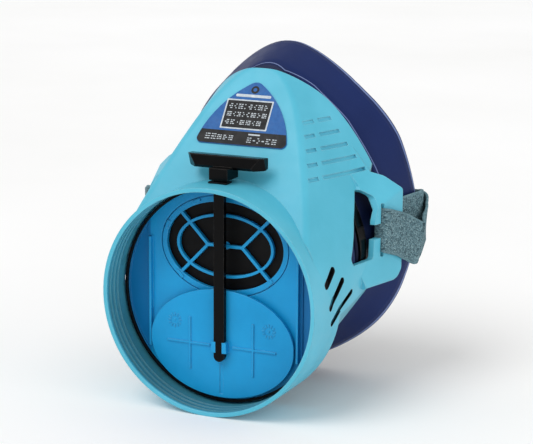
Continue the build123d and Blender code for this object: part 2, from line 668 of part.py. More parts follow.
def strap_slider(side):
    """Slider that joins the two layers of webbing: a flat loop with a middle bar."""
    x0, x1 = SLIDER_X - SLIDER_W / 2, SLIDER_X + SLIDER_W / 2
    gap = WEB_T / 2 + 0.15
    loop = box(x0, x1, LAYER_IN_Y - gap - 0.9, LAYER_OUT_Y + gap + 0.9, WEB_LOW - 2.8, WEB_HIGH + 2.8)
    loop -= box(x0 - 1, x1 + 1, LAYER_IN_Y - gap, LAYER_OUT_Y + gap, WEB_LOW - 0.5, WEB_HIGH + 0.5)
    bar_low, bar_high = WEB_LOW - 1.5, WEB_HIGH + 1.5
    loop += box(SLIDER_X - 1, SLIDER_X + 1, LAYER_IN_Y + gap, LAYER_OUT_Y - gap, bar_low, bar_high)
    return loop if side > 0 else mirrored(loop)


def strap_keeper():
    """Elastic loop round the folded webbing."""
    gap = WEB_T / 2 + 0.2
    back = LAYER_OUT_Y + FOLD_PITCH * 2
    half = KEEPER_W / 2
    keeper = box(-half, half, LAYER_OUT_Y - gap - 0.8, back + gap + 0.8, WEB_LOW - 1.4, WEB_HIGH + 1.4)
    return keeper - box(-half - 1, half + 1, LAYER_OUT_Y - gap, back + gap, WEB_LOW - 0.4, WEB_HIGH + 0.4)


# ---- write the parts --------------------------------------------------------------------------
NODES = {
    "front_shell": front_shell,
    "valve_plate": valve_plate,
    "inlet_grille": inlet_grille,
    "inhalation_valve": inhalation_valve,
    "valve_retainer": valve_retainer,
    "chamber_gasket": chamber_gasket,
    "shutter_plate": shutter_plate,
    "shutter_seal": shutter_seal,
    "shutter_rod": shutter_rod,
    "rod_seal": rod_seal,
    "lever_knob": lever_knob,
    "label_plate": label_plate,
    "inner_frame": inner_frame,
    "exhalation_seat": exhalation_seat,
    "exhalation_valve": exhalation_valve,
    "exhalation_guard": exhalation_guard,
    "frame_screws": frame_screws,
    "face_seal": face_seal,
    "seal_clamp": seal_clamp,
    "head_strap": head_strap,
    "strap_keeper": strap_keeper,
    "strap_slider_right": lambda: strap_slider(1),
    "strap_slider_left": lambda: strap_slider(-1),
}

os.makedirs("parts", exist_ok=True)
for name, make in NODES.items():
    export_step(make(), f"parts/{name}.step")
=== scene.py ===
"""Looks for a half-mask respirator with a round cartridge holder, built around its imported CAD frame."""

import json
from math import atan2, cos, hypot, pi, sin

import bpy
from mathutils import Matrix, Vector


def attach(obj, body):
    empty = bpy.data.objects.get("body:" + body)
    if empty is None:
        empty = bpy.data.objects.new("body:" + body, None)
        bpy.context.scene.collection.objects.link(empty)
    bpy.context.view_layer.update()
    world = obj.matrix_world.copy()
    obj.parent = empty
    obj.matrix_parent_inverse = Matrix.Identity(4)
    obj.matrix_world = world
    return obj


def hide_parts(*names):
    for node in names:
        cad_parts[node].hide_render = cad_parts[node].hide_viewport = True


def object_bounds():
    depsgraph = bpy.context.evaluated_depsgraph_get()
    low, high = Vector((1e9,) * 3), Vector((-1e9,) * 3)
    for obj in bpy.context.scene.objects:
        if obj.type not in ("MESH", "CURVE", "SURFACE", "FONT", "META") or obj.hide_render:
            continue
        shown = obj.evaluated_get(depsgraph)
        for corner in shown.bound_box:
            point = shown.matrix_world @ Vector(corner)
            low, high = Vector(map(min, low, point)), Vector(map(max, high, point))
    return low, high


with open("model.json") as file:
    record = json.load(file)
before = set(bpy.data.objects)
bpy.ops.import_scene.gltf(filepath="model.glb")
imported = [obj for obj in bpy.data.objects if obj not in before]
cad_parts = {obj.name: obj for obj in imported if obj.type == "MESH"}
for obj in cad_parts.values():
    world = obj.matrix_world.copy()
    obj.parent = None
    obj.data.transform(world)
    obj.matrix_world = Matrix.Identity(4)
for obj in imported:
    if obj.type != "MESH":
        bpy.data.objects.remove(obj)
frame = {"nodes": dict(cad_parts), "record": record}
CAD_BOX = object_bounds()
MM = 0.001

# ---- shell and seal form, in millimetres, as in the CAD ---------------------------------------
CENTRE_Z = 20.0  # height of the axis that the form is measured from
BODY_POWER = 8  # how sharply the body's panels meet
# A panel is its outward x and z, its reach from the axis, the depth of that reach, and the reach gained per
# millimetre of depth.
PANELS = [
    (0.0, 1.0, 87.1 - CENTRE_Z, 50.3, 0.49),  # roof
    (0.0, -1.0, 65.0, 8.0, -0.154),  # bottom
]
SIDE_PANELS = [  # once for each side
    (0.834, 0.552, 47.9 / 0.965 - 0.552 * CENTRE_Z, 16.0, 0.2621 / 0.965),  # upper cheek
    (1.0, 0.0, 45.6, 8.0, 0.19),  # side
    (0.78, -0.626, 57.5, 8.0, -0.1756),  # lower cheek
]
COLLAR_INSET, SKIRT_INSET = 3.8, 3.1
COLLAR_Y, FLARE_Y, SKIRT_Y = 42.0, 49.0, 63.0  # depths where the seal's collar, flare and skirt start
SEAL_BACK = 90.0
SEAL_T, COLLAR_T = 2.6, 1.6
BEAD_HALF = 1.3  # the rounded bead just behind the shell
BEAD_RISE = 1.0
BEAD_CREST, RIM_CREST = 9, 22  # places in the seal's profile of its two crests, which carry a painted highlight
LIP_DROP = 3.4  # how far forward the lip that touches the face curls
OPENING_SCALE = 0.72  # size of the face opening against the seal's rear outline
SEAL_RINGS = 224
SEAL_OUTLINE = [  # x and z of the rear outline's right half, from top to bottom
    (0.0, 97.6), (9.5, 95.4), (24.0, 87.2), (38.0, 74.2), (47.6, 59.0), (53.4, 39.0), (55.4, 17.4),
    (51.6, -5.0), (47.2, -17.0), (40.6, -28.2), (31.0, -37.4), (17.0, -45.6), (0.0, -49.0),
]
SEAL_REAR = [  # y and z of the seal's rear edge in side view, from top to bottom
    (75.0, 104.0), (79.3, 93.7), (86.2, 56.0), (88.0, 18.0), (86.0, -15.0), (81.0, -46.0), (79.0, -56.0),
]
SHELL_REAR = [  # the same for the shell
    (48.6, 92.0), (50.4, 85.2), (58.0, 75.3), (62.5, 62.0), (63.5, 44.0), (62.0, 0.0), (58.0, -48.0),
]
FRONT_Y, FRONT_Z, FRONT_SLOPE = 10.6, 30.0, 0.726  # a point of the leaning front plate, and depth per height

# ---- painted shade on the shell, the plate and the seal, in metres ------------------------------
HOLDER_R = 0.0446  # everything nearer the axis is the holder's inside wall
ZONE_EDGE = 0.0003  # width of a sharp change of colour
HOLDER_SHADE_X = (0.030, -0.020)  # where each shade starts, and where it is full
HOLDER_SHADE_Y = (0.0003, 0.0016)
HOLDER_SHADE_Z = (0.010, -0.036)
TROUGH_SHADE_X = (0.0322, 0.0326)
COLLAR_SHADE_Y = (0.0595, 0.0545)
VENT_MIN_X = 0.036

# ---- label ------------------------------------------------------------------------------------
LABEL_BASE_Z = 56.8
LABEL_HALF = 19.9
LABEL_TOP = (80.0 - LABEL_BASE_Z) * hypot(1.0, FRONT_SLOPE)
LABEL_SHOULDER = (13.4, 0.56 * LABEL_TOP)  # half-width, and the distance up the label where it is that wide
LABEL_T = 0.5
BAND_MARGIN, BAND_TOP, BAND_CORNER = 0.15, 6.0, 2.1
RING_T = 24.6
PANEL_LEFT, PANEL_SPACE = -9.2, 0.75
PANEL_ROWS = [  # height up the label, size of the marks, and their lengths
    (16.9, 2.1, (1.5, 1.1, 1.9, 0.9, 1.6, 1.1, 2.0, 1.3)),
    (13.4, 1.9, (1.9, 1.0, 1.5, 1.0, 1.2, 2.1, 1.2, 1.9)),
    (9.9, 1.9, (1.7, 1.7, 0.8, 1.9, 2.0, 1.0, 1.9)),
]
BAND_MARKS = [  # place to the right, length, height up the label and size of each mark
    (-15.8, 2.0, 3.0, 2.4), (-13.2, 2.0, 3.0, 2.4), (-10.6, 1.9, 2.9, 2.0), (-8.0, 1.7, 2.9, 2.0),
    (-5.6, 1.8, 2.9, 2.0), (2.4, 1.8, 2.5, 2.2), (5.0, 1.0, 2.4, 0.5), (6.8, 1.2, 2.5, 2.2),
    (8.8, 1.0, 2.4, 0.5), (10.6, 1.7, 2.5, 2.2), (13.1, 1.9, 2.5, 2.2),
]
PRINT_DEPTH = 0.05
PRINT_SUNK = 0.02  # how far a patch reaches into what it lies on
PANEL_LIFT, MARK_LIFT = 0.05, 0.1
DASH_T, DASH_GAP = 0.38, 0.3

# ---- side vents, in side view: both ends of each slot's middle line -----------------------------
VENTS = [(12.0, 8.1, 19.2, 14.9), (14.6, -1.1, 25.0, 9.7), (17.4, -7.6, 33.8, 2.8)]
VENT_W = 2.9
VENT_MARGIN = 0.06  # how far the painted black, standing for the shade inside the slot, reaches past the slot's wall

# ---- webbing ----------------------------------------------------------------------------------
WEB_WIDTH = 17.6
WEB_T = 1.2
WEB_BEND = 2.2  # length of each bend on either side of a corner of the route
WEB_STEP = 1.5
WEB_Z = 23.4
LAYER_IN_Y, LAYER_OUT_Y = 92.0, 94.5
SLOT_Y = 53.1
WEB_PROFILE = [  # across the width and the thickness, with a thicker selvedge at both edges
    (-0.5, 0.0), (-0.488, 0.42), (-0.45, 0.5), (-0.44, 0.46), (-0.25, 0.48), (0.0, 0.5), (0.25, 0.48),
    (0.44, 0.46), (0.45, 0.5), (0.488, 0.42), (0.5, 0.0),
]

# ---- camera and floor, in metres ----------------------------------------------------------------
CAMERA_PLACE = (0.3159, -0.63957, 0.19216)
CAMERA_FORWARD = (-0.40378, 0.88835, -0.21863)
CAMERA_UP = (-0.09585, 0.19658, 0.97579)
CAMERA_LENS = 129.58
FLOOR_REACH = 4.0

BLACK, WHITE = (0, 0, 0, 1), (1, 1, 1, 1)


# ---- material helpers -------------------------------------------------------------------------
def linear(hex_colour):
    """Linear RGBA of a web colour."""
    parts = [int(hex_colour[k:k + 2], 16) / 255 for k in (1, 3, 5)]
    return [c / 12.92 if c <= 0.04045 else ((c + 0.055) / 1.055) ** 2.4 for c in parts] + [1.0]


class Surface:
    """A Principled material with shortcuts for its procedural nodes."""

    def __init__(self, name, roughness, subsurface=0.0, coords="Object", specular=0.5):
        self.material = bpy.data.materials.new(name)
        self.material.use_nodes = True
        self.nodes = self.material.node_tree.nodes
        self.links = self.material.node_tree.links
        self.shader = self.nodes["Principled BSDF"]
        self.shader.inputs["Roughness"].default_value = roughness
        self.shader.inputs["Specular IOR Level"].default_value = specular
        if subsurface:
            self.shader.inputs["Subsurface Weight"].default_value = subsurface
            self.shader.inputs["Subsurface Radius"].default_value = (0.6, 0.9, 1.0)
            self.shader.inputs["Subsurface Scale"].default_value = 0.001
        self.coords = self.nodes.new("ShaderNodeTexCoord").outputs[coords]

    def node(self, kind, **settings):
        made = self.nodes.new(kind)
        for key, value in settings.items():
            setattr(made, key, value)
        return made

    def scaled(self, scale):
        """Texture coordinates stretched by scale along X, Y and Z."""
        mapping = self.node("ShaderNodeMapping")
        mapping.inputs["Scale"].default_value = scale
        self.links.new(self.coords, mapping.inputs["Vector"])
        return mapping.outputs["Vector"]

    def noise(self, scale, detail=4.0, rough=0.55, vector=None):
        """Noise factor at a scale in cells per metre."""
        made = self.node("ShaderNodeTexNoise")
        made.inputs["Scale"].default_value = scale
        made.inputs["Detail"].default_value = detail
        made.inputs["Roughness"].default_value = rough
        self.links.new(vector or self.coords, made.inputs["Vector"])
        return made.outputs["Fac"]

    def ramp(self, factor, stops):
        """Colour ramp from (position, colour) stops."""
        made = self.node("ShaderNodeValToRGB")
        ramp = made.color_ramp
        while len(ramp.elements) < len(stops):
            ramp.elements.new(0.5)
        for element, (position, colour) in zip(ramp.elements, stops):
            element.position = position
            element.color = colour
        self.links.new(factor, made.inputs["Fac"])
        return made.outputs["Color"]

    def ranged(self, value, start, end, low, high):
        """Value stretched from start..end to low..high, and held there outside."""
        made = self.node("ShaderNodeMapRange")
        made.inputs["From Min"].default_value = start
        made.inputs["From Max"].default_value = end
        made.inputs["To Min"].default_value = low
        made.inputs["To Max"].default_value = high
        self.links.new(value, made.inputs["Value"])
        return made.outputs["Result"]

    def mapped(self, factor, low, high):
        """Noise factor stretched to low..high."""
        return self.ranged(factor, 0.3, 0.7, low, high)

    def feed(self, value, socket):
        """Sets a socket to a number or colour, or links another socket to it."""
        if isinstance(value, (int, float, list, tuple)):
            socket.default_value = value
        else:
            self.links.new(value, socket)

    def mix(self, factor, a, b, blend="MIX"):
        """Colour mix of two sockets or colours."""
        made = self.node("ShaderNodeMix", data_type="RGBA", blend_type=blend)
        # The colours of this node are its inputs 6 and 7 and its output 2.
        for value, place in ((factor, 0), (a, 6), (b, 7)):
            self.feed(value, made.inputs[place])
        return made.outputs[2]

    def math(self, operation, a, b=0.0):
        made = self.node("ShaderNodeMath", operation=operation)
        self.feed(a, made.inputs[0])
        self.feed(b, made.inputs[1])
        return made.outputs[0]

    def place(self):
        """X, Y and Z of the surface's point, in metres in the frame of the CAD."""
        split = self.node("ShaderNodeSeparateXYZ")
        self.links.new(self.coords, split.inputs["Vector"])
        return [split.outputs[axis] for axis in "XYZ"]

    def length(self, a, b):
        """Root of the sum of two squares."""
        return self.math("SQRT", self.math("ADD", self.math("MULTIPLY", a, a), self.math("MULTIPLY", b, b)))

    def edges(self, radius):
        """(factor that is 1 on edges, for worn edges and for a painted sheen, rounded normal)."""
        bevel = self.node("ShaderNodeBevel", samples=4)
        bevel.inputs["Radius"].default_value = radius
        geometry = self.node("ShaderNodeNewGeometry")
        dot = self.node("ShaderNodeVectorMath", operation="DOT_PRODUCT")
        self.links.new(bevel.outputs["Normal"], dot.inputs[0])
        self.links.new(geometry.outputs["Normal"], dot.inputs[1])
        turned = self.math("SUBTRACT", 1.0, dot.outputs["Value"])
        return self.math("MINIMUM", self.math("MULTIPLY", turned, 5.0), 1.0), bevel.outputs["Normal"]

    def bump(self, height, strength, distance, normal=None):
        made = self.node("ShaderNodeBump")
        made.inputs["Strength"].default_value = strength
        made.inputs["Distance"].default_value = distance
        self.links.new(height, made.inputs["Height"])
        if normal:
            self.links.new(normal, made.inputs["Normal"])
        return made.outputs["Normal"]

    def finish(self, colour, roughness=None, normal=None):
        self.links.new(colour, self.shader.inputs["Base Color"])
        if roughness is not None:
            self.links.new(roughness, self.shader.inputs["Roughness"])
        if normal is not None:
            self.links.new(normal, self.shader.inputs["Normal"])
        return self.material


def in_vent(s, x, y, z):
    """1 inside the outline of any side vent, seen from the side, and 0 elsewhere."""
    found = 0.0
    for y0, z0, y1, z1 in VENTS:
        length = hypot(y1 - y0, z1 - z0)
        along_y, along_z = (y1 - y0) / length, (z1 - z0) / length
        from_y = s.math("SUBTRACT", y, (y0 + y1) / 2 * MM)
        from_z = s.math("SUBTRACT", z, (z0 + z1) / 2 * MM)
        along = s.math("ADD", s.math("MULTIPLY", from_y, along_y), s.math("MULTIPLY", from_z, along_z))
        across = s.math("SUBTRACT", s.math("MULTIPLY", from_z, along_y), s.math("MULTIPLY", from_y, along_z))
        straight = (length - VENT_W) / 2 * MM
        beyond = s.math("MAXIMUM", s.math("SUBTRACT", s.math("ABSOLUTE", along), straight), 0.0)
        inside = s.math("LESS_THAN", s.length(beyond, across), (VENT_W / 2 + VENT_MARGIN) * MM)
        found = s.math("MAXIMUM", found, inside)
    return s.math("MULTIPLY", found, s.math("GREATER_THAN", s.math("ABSOLUTE", x), VENT_MIN_X))


def holder_shade(s, colour):
    """Painted shade: darkens the holder's inside wall, more so low down, far in and to the left, and paints
    the vents' floors black.
    """
    x, y, z = s.place()
    within = s.ranged(s.length(x, z), HOLDER_R, HOLDER_R - ZONE_EDGE, 0.0, 1.0)
    deep = s.ranged(y, *HOLDER_SHADE_Y, 0.0, 1.0)
    low = s.ranged(z, *HOLDER_SHADE_Z, 0.24, 0.64)
    left = s.ranged(x, *HOLDER_SHADE_X, 0.65, 1.0)
    amount = s.math("MULTIPLY", s.math("MULTIPLY", within, deep), s.math("MULTIPLY", low, left))
    shaded = s.mix(amount, colour, linear("#0B1E2B"))
    return s.mix(s.math("SUBTRACT", in_vent(s, x, y, z), within), shaded, linear("#020405"))


def trough_shade(s, colour):
    """Painted shade: darkens the valve plate outside its two rails."""
    beyond = s.ranged(s.math("ABSOLUTE", s.place()[0]), *TROUGH_SHADE_X, 0.0, 0.6)
    return s.mix(beyond, colour, linear("#0A5698"))


def collar_shade(s, colour):
    """Deepens the colour of the seal's collar, in the shade between the shell and the inner frame."""
    return s.mix(s.ranged(s.place()[1], *COLLAR_SHADE_Y, 0.0, 0.72), colour, linear("#04060E"))


def moulded(name, dark, light, edge, rough, bevel, grain, subsurface=0.0, specular=0.4, shade=None):
    """Injection-moulded plastic: cloudy colour, fine spark-erosion grain and paler edges."""
    s = Surface(name, rough[0], subsurface=subsurface, specular=specular)
    cloud = s.ramp(s.noise(38.0), [(0.32, linear(dark)), (0.68, linear(light))])
    fine = s.noise(2600.0, 2.0)
    edge_wear_and_sheen, rounded = s.edges(bevel)
    patchy = s.math("MULTIPLY", edge_wear_and_sheen, s.mapped(s.noise(420.0), 0.15, 0.85))
    colour = s.mix(patchy, cloud, linear(edge))
    if shade:
        colour = shade(s, colour)
    roughness = s.mapped(s.noise(160.0, 6.0), rough[0], rough[1])
    return s.finish(colour, roughness, s.bump(fine, grain, 0.00006, rounded))


def elastomer(name, dark, light, edge, rough, bevel, grain, shade=None):
    """Moulded rubber: soft sheen, painted in part as paler edges, faint bloom and a slightly pebbled skin."""
    s = Surface(name, rough[0], specular=0.16)
    cloud = s.ramp(s.noise(26.0, 6.0), [(0.3, linear(dark)), (0.7, linear(light))])
    dust = s.ramp(s.noise(1400.0, 3.0), [(0.62, BLACK), (0.8, WHITE)])
    edge_wear_and_sheen, rounded = s.edges(bevel)
    dusty = s.mix(s.math("MULTIPLY", dust, 0.08), cloud, linear(edge))
    # painted sheen: the edges are mixed towards the pale edge colour
    colour = s.mix(s.math("MULTIPLY", edge_wear_and_sheen, 0.7), dusty, linear(edge))
    roughness = s.mapped(s.noise(220.0, 5.0), rough[0], rough[1])
    if shade:
        colour = shade(s, colour)
    return s.finish(colour, roughness, s.bump(s.noise(1700.0, 3.0), grain, 0.0001, rounded))


def webbing_material():
    """Knitted elastic webbing: ribs of small stitches in grey-green yarns, with tight selvedges."""
    s = Surface("strap_webbing_look", 0.85, coords="UV", specular=0.2)
    cells = s.node("ShaderNodeTexVoronoi", feature="F1")
    cells.inputs["Scale"].default_value = 1.0
    cells.inputs["Randomness"].default_value = 0.75
    s.links.new(s.scaled((1.9, 2.5, 1.0)), cells.inputs["Vector"])
    yarn = s.node("ShaderNodeSeparateColor")
    s.links.new(cells.outputs["Color"], yarn.inputs["Color"])
    tone = s.ramp(yarn.outputs["Red"], [(0.1, linear("#3A525B")), (0.3, linear("#58777F")),
                                        (0.7, linear("#688993")), (0.97, linear("#86A4AA"))])
    across = s.place()[1]
    selvedge = s.math("GREATER_THAN", s.math("ABSOLUTE", across), WEB_WIDTH / 2 - 0.9)
    colour = s.mix(s.math("MULTIPLY", selvedge, 0.55), tone, linear("#6F919A"))
    hollow = s.ramp(cells.outputs["Distance"], [(0.25, WHITE), (0.75, BLACK)])
    between_stitches = s.ramp(cells.outputs["Distance"], [(0.35, WHITE), (0.8, (0.55, 0.55, 0.57, 1))])
    colour = s.mix(0.5, colour, s.mix(1.0, colour, between_stitches, "MULTIPLY"))
    ribs = s.math("SINE", s.math("MULTIPLY", across, 2 * pi / 1.3))
    height = s.math("ADD", hollow, s.math("MULTIPLY", ribs, 0.25))
    return s.finish(colour, s.mapped(s.noise(3.0), 0.7, 0.95), s.bump(height, 0.6, 0.00025))


def steel_material():
    """Zinc-plated screw: fine turned scratches."""
    s = Surface("screw_look", 0.3)
    s.shader.inputs["Metallic"].default_value = 1.0
    streaks = s.noise(900.0, 3.0, vector=s.scaled((1.0, 8.0, 1.0)))
    colour = s.ramp(streaks, [(0.3, linear("#7E8288")), (0.7, linear("#B9BCC0"))])
    edge_wear_and_sheen, rounded = s.edges(0.0002)
    colour = s.mix(edge_wear_and_sheen, colour, linear("#D9DADC"))
    return s.finish(colour, s.mapped(streaks, 0.22, 0.42), s.bump(streaks, 0.15, 0.00005, rounded))


def print_material(name, ink, light):
    """Screen-printed ink: slightly uneven coverage and a fine halftone grain."""
    s = Surface(name, 0.38, specular=0.2)
    colour = s.ramp(s.noise(700.0, 5.0), [(0.3, linear(ink)), (0.75, linear(light))])
    return s.finish(colour, s.mapped(s.noise(300.0), 0.3, 0.48), s.bump(s.noise(3200.0, 2.0), 0.08, 0.00004))


def floor_material():
    """Plain pale matte floor with a trace of mottle."""
    s = Surface("floor_look", 0.9)
    colour = s.ramp(s.noise(3.0, 3.0), [(0.3, linear("#F7F7F6")), (0.7, linear("#FDFDFD"))])
    return s.finish(colour, s.mapped(s.noise(40.0), 0.85, 0.95))


LOOKS = {
    "shell_plastic": moulded("shell_look", "#4DB1CA", "#59BCD6", "#9ADAE9", (0.36, 0.48), 0.0006, 0.10,
                             specular=0.35, subsurface=0.05, shade=holder_shade),
    "plate_plastic": moulded("plate_look", "#1092CC", "#1A9FDA", "#66BDE6", (0.30, 0.42), 0.0004, 0.08,
                             specular=0.22, subsurface=0.04, shade=trough_shade),
    "black_plastic": moulded("black_look", "#020203", "#050506", "#4A4642", (0.14, 0.24), 0.0005, 0.05,
                             specular=0.1),
    "navy_plastic": moulded("navy_look", "#14224A", "#1A2A57", "#33467A", (0.42, 0.55), 0.0005, 0.12,
                            specular=0.16),
    "navy_rubber": elastomer("seal_look", "#112252", "#172A60", "#5C72AC", (0.36, 0.48), 0.0009, 0.10,
                             collar_shade),
    # painted highlight: pale lines along the seal's two crests
    "navy_rubber_painted_highlight": elastomer("seal_painted_highlight_look", "#5F74A8", "#8292BE", "#A9B5D6", (0.30, 0.40), 0.0004,
                                   0.05),
    "black_rubber": elastomer("gasket_look", "#020203", "#050506", "#1D1D20", (0.5, 0.65), 0.0004, 0.15),
    "valve_rubber": elastomer("valve_look", "#010102", "#040405", "#15161A", (0.5, 0.65), 0.0003, 0.08),
    "label_film": print_material("label_look", "#1C5799", "#2464A8"),
    "screw_steel": steel_material(),
    "strap_webbing": webbing_material(),
}
WHITE_INK = print_material("white_ink", "#AEBAC4", "#D9DFE3")
BLACK_INK = print_material("black_ink", "#050608", "#0E1013")


def paint_cad():
    """Gives every CAD node the look of its record slot."""
    for part in frame["record"]["subparts"]:
        node = frame["nodes"][part["node"]]
        look = LOOKS[part["material_slot"]]
        if not node.material_slots:
            node.data.materials.append(look)
        for place in node.material_slots:
            place.material = look


# ---- mesh helpers -----------------------------------------------------------------------------
def mesh_piece(name, points, faces, look, uvs=None, smooth=True):
    """Object from points in millimetres, which rides on the mask's body."""
    mesh = bpy.data.meshes.new(name)
    mesh.from_pydata([[c * MM for c in p] for p in points], [], faces)
    mesh.update()
    if uvs:
        layer = mesh.uv_layers.new(name="along_across")
        for loop in mesh.loops:
            layer.data[loop.index].uv = uvs[loop.vertex_index]
    for polygon in mesh.polygons:
        polygon.use_smooth = smooth
    piece = bpy.data.objects.new(name, mesh)
    bpy.context.scene.collection.objects.link(piece)
    mesh.materials.append(look)
    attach(piece, "mask")
    return piece


def catmull(points, t):
    """Point at t in 0..1 on an evenly spaced Catmull-Rom curve through equal-length tuples."""
    last = len(points) - 1
    place = min(max(t, 0.0), 1.0) * last
    k = min(int(place), last - 1)
    f = place - k
    before, a, b, after = (points[max(0, min(last, k + d))] for d in (-1, 0, 1, 2))
    point = []
    for p, q, r, s in zip(before, a, b, after):
        bend, twist = 2 * p - 5 * q + 4 * r - s, 3 * q - p - 3 * r + s
        point.append(0.5 * (2 * q + (r - p) * f + bend * f * f + twist * f ** 3))
    return tuple(point)


def depth_at(edge, z):
    """Depth of a side-view edge, given as (y, z) points from top to bottom, at height z."""
    for (y0, z0), (y1, z1) in zip(edge, edge[1:]):
        if z0 >= z >= z1:
            f = (z0 - z) / (z0 - z1)
            f = f * f * (3 - 2 * f) * 0.35 + f * 0.65
            return y0 + (y1 - y0) * f
    return edge[0][0] if z > edge[0][1] else edge[-1][0]


# ---- face seal --------------------------------------------------------------------------------
def body_radius(angle, y, inset):
    """Distance of the shell's form from the axis (0, CENTRE_Z) at an angle, a depth and an inset."""
    cx, cz = cos(angle), sin(angle)
    both_sides = [(side * nx, *rest) for side in (-1, 1) for nx, *rest in SIDE_PANELS]
    total = 0.0
    for nx, nz, reach, at_y, gain in PANELS + both_sides:
        total += (max(nx * cx + nz * cz, 0.0) / (reach + gain * (y - at_y) - inset)) ** BODY_POWER
    return total ** (-1.0 / BODY_POWER)


def rear_radii(count):
    """Distance of the seal's rear outline from the axis at evenly spaced angles."""
    loop = SEAL_OUTLINE + [(-x, z) for x, z in SEAL_OUTLINE[-2:0:-1]]
    ring = loop[-3:] + loop + loop[:4]
    steps = 40 * (len(ring) - 1)
    walked = [catmull(ring, k / steps) for k in range(steps + 1)]
    polar = sorted((atan2(z - CENTRE_Z, x) % (2 * pi), hypot(x, z - CENTRE_Z)) for x, z in walked)
    polar = [(a - 2 * pi, r) for a, r in polar[-5:]] + polar + [(a + 2 * pi, r) for a, r in polar[:5]]
    radii = []
    at = 0
    for k in range(count):
        angle = 2 * pi * k / count
        while polar[at + 1][0] < angle:
            at += 1
        (a0, r0), (a1, r1) = polar[at], polar[at + 1]
        radii.append(r0 + (r1 - r0) * (angle - a0) / max(a1 - a0, 1e-9))
    return radii


def seal_radius(angle, y, rear, extra=0.0):
    """Distance of the seal's outer surface from the axis, moved inwards by extra."""
    collar = body_radius(angle, COLLAR_Y, COLLAR_INSET)
    r0 = body_radius(angle, FLARE_Y, COLLAR_INSET)
    if y <= FLARE_Y:
        return collar + (r0 - collar) * (y - COLLAR_Y) / (FLARE_Y - COLLAR_Y) - extra
    r1 = body_radius(angle, SKIRT_Y, SKIRT_INSET)
    flare_slope = (r1 - r0) / (SKIRT_Y - FLARE_Y)
    skirt_slope = (rear - r1) / (SEAL_BACK - SKIRT_Y)
    middle_slope = (flare_slope + skirt_slope) / 2
    if y <= SKIRT_Y:
        start, span, a, b, ma, mb = FLARE_Y, SKIRT_Y - FLARE_Y, r0, r1, flare_slope, middle_slope
    else:
        start, span, a, b, ma, mb = SKIRT_Y, SEAL_BACK - SKIRT_Y, r1, rear, middle_slope, skirt_slope
    f = (y - start) / span
    h00, h10 = 2 * f ** 3 - 3 * f * f + 1, f ** 3 - 2 * f * f + f
    h01, h11 = -2 * f ** 3 + 3 * f * f, f ** 3 - f * f
    return h00 * a + h10 * span * ma + h01 * b + h11 * span * mb - extra


def front_limit(z, inset):
    """Depth of the leaning front plate's surface moved back by inset, at height z."""
    return FRONT_Y + FRONT_SLOPE * (z - FRONT_Z) + inset * hypot(1.0, FRONT_SLOPE)


def seal_profile(angle, rear):
    """One closed section of the seal: collar, bead, skirt, bevelled rim, lip and inside wall."""
    cx, cz = cos(angle), sin(angle)

    def at(y, extra=0.0):
        r = seal_radius(angle, y, rear, extra)
        return (r * cx, y, CENTRE_Z + r * cz)

    y_rear, y_shell, collar = SEAL_BACK, 60.0, COLLAR_Y
    for _ in range(12):
        y_rear = depth_at(SEAL_REAR, at(y_rear)[2])
        y_shell = depth_at(SHELL_REAR, at(y_shell)[2])
        collar = max(COLLAR_Y, front_limit(at(collar)[2], COLLAR_INSET))
    mouth = max(y_shell, collar + 1.0)
    profile = [at(collar + (mouth - collar) * part) for part in (0.0, 0.25, 0.5, 0.8)] + [at(mouth + 0.6)]
    bead = mouth + 1.6
    for k in range(9):
        t = pi * k / 8
        profile.append(at(bead + BEAD_HALF * (1 - cos(t)), -BEAD_RISE * sin(t)))
    profile += [at(bead + 3.0, 0.6), at(bead + 3.5, 0.05)]
    start, end = bead + 3.9, y_rear - 2.6
    profile += [at(start + (end - start) * part) for part in (0.15, 0.35, 0.55, 0.75, 0.9)]
    for ahead, inset in ((2.45, 0.0), (2.2, 0.5), (1.3, 0.45), (0.5, 0.85), (0.1, 1.5), (0.0, 2.4)):
        profile.append(at(y_rear - ahead, inset))
    edge_r = hypot(profile[-1][0], profile[-1][2] - CENTRE_Z)
    lip_r = OPENING_SCALE * rear

    def lip(part, thick=0.0):
        r = edge_r + (lip_r - edge_r) * part
        z = CENTRE_Z + r * cz
        return (r * cx, min(depth_at(SEAL_REAR, z), y_rear + 2.5) - LIP_DROP * part * part - thick, z)

    profile += [lip(part) for part in (0.12, 0.3, 0.5, 0.7, 0.86, 0.95)]
    profile.append((lip_r * cx, profile[-1][1] - 0.9, CENTRE_Z + lip_r * cz))
    profile += [lip(*pair) for pair in ((0.97, 1.9), (0.8, 2.2), (0.55, 2.3), (0.3, 2.6), (0.12, 3.2))]
    for y, wall in ((y_rear - 5.0, 2.9), (y_rear - 9.0, SEAL_T), (mouth + 8.0, SEAL_T), (mouth, SEAL_T),
                    ((mouth + collar) / 2, COLLAR_T), (collar, COLLAR_T)):
        profile.append(at(y, wall))
    return profile


def tube_faces(rings, stations):
    """Quads between consecutive rings of points, each closed on itself."""
    faces = []
    for k, after in rings:
        for s in range(stations):
            nxt = (s + 1) % stations
            faces.append((k * stations + s, k * stations + nxt, after * stations + nxt, after * stations + s))
    return faces


def seal_piece():
    """Face seal, lofted through one section per angle."""
    sections = [seal_profile(2 * pi * k / SEAL_RINGS, rear) for k, rear in enumerate(rear_radii(SEAL_RINGS))]
    stations = len(sections[0])
    faces = tube_faces([(k, (k + 1) % SEAL_RINGS) for k in range(SEAL_RINGS)], stations)
    points = [point for section in sections for point in section]
    piece = mesh_piece("face_seal_moulding", points, faces, LOOKS["navy_rubber"])
    # the faces along the two crests carry the painted highlight
    piece.data.materials.append(LOOKS["navy_rubber_painted_highlight"])
    for polygon in piece.data.polygons:
        if polygon.index % stations in (BEAD_CREST, RIM_CREST):
            polygon.material_index = 1
    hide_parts("face_seal")


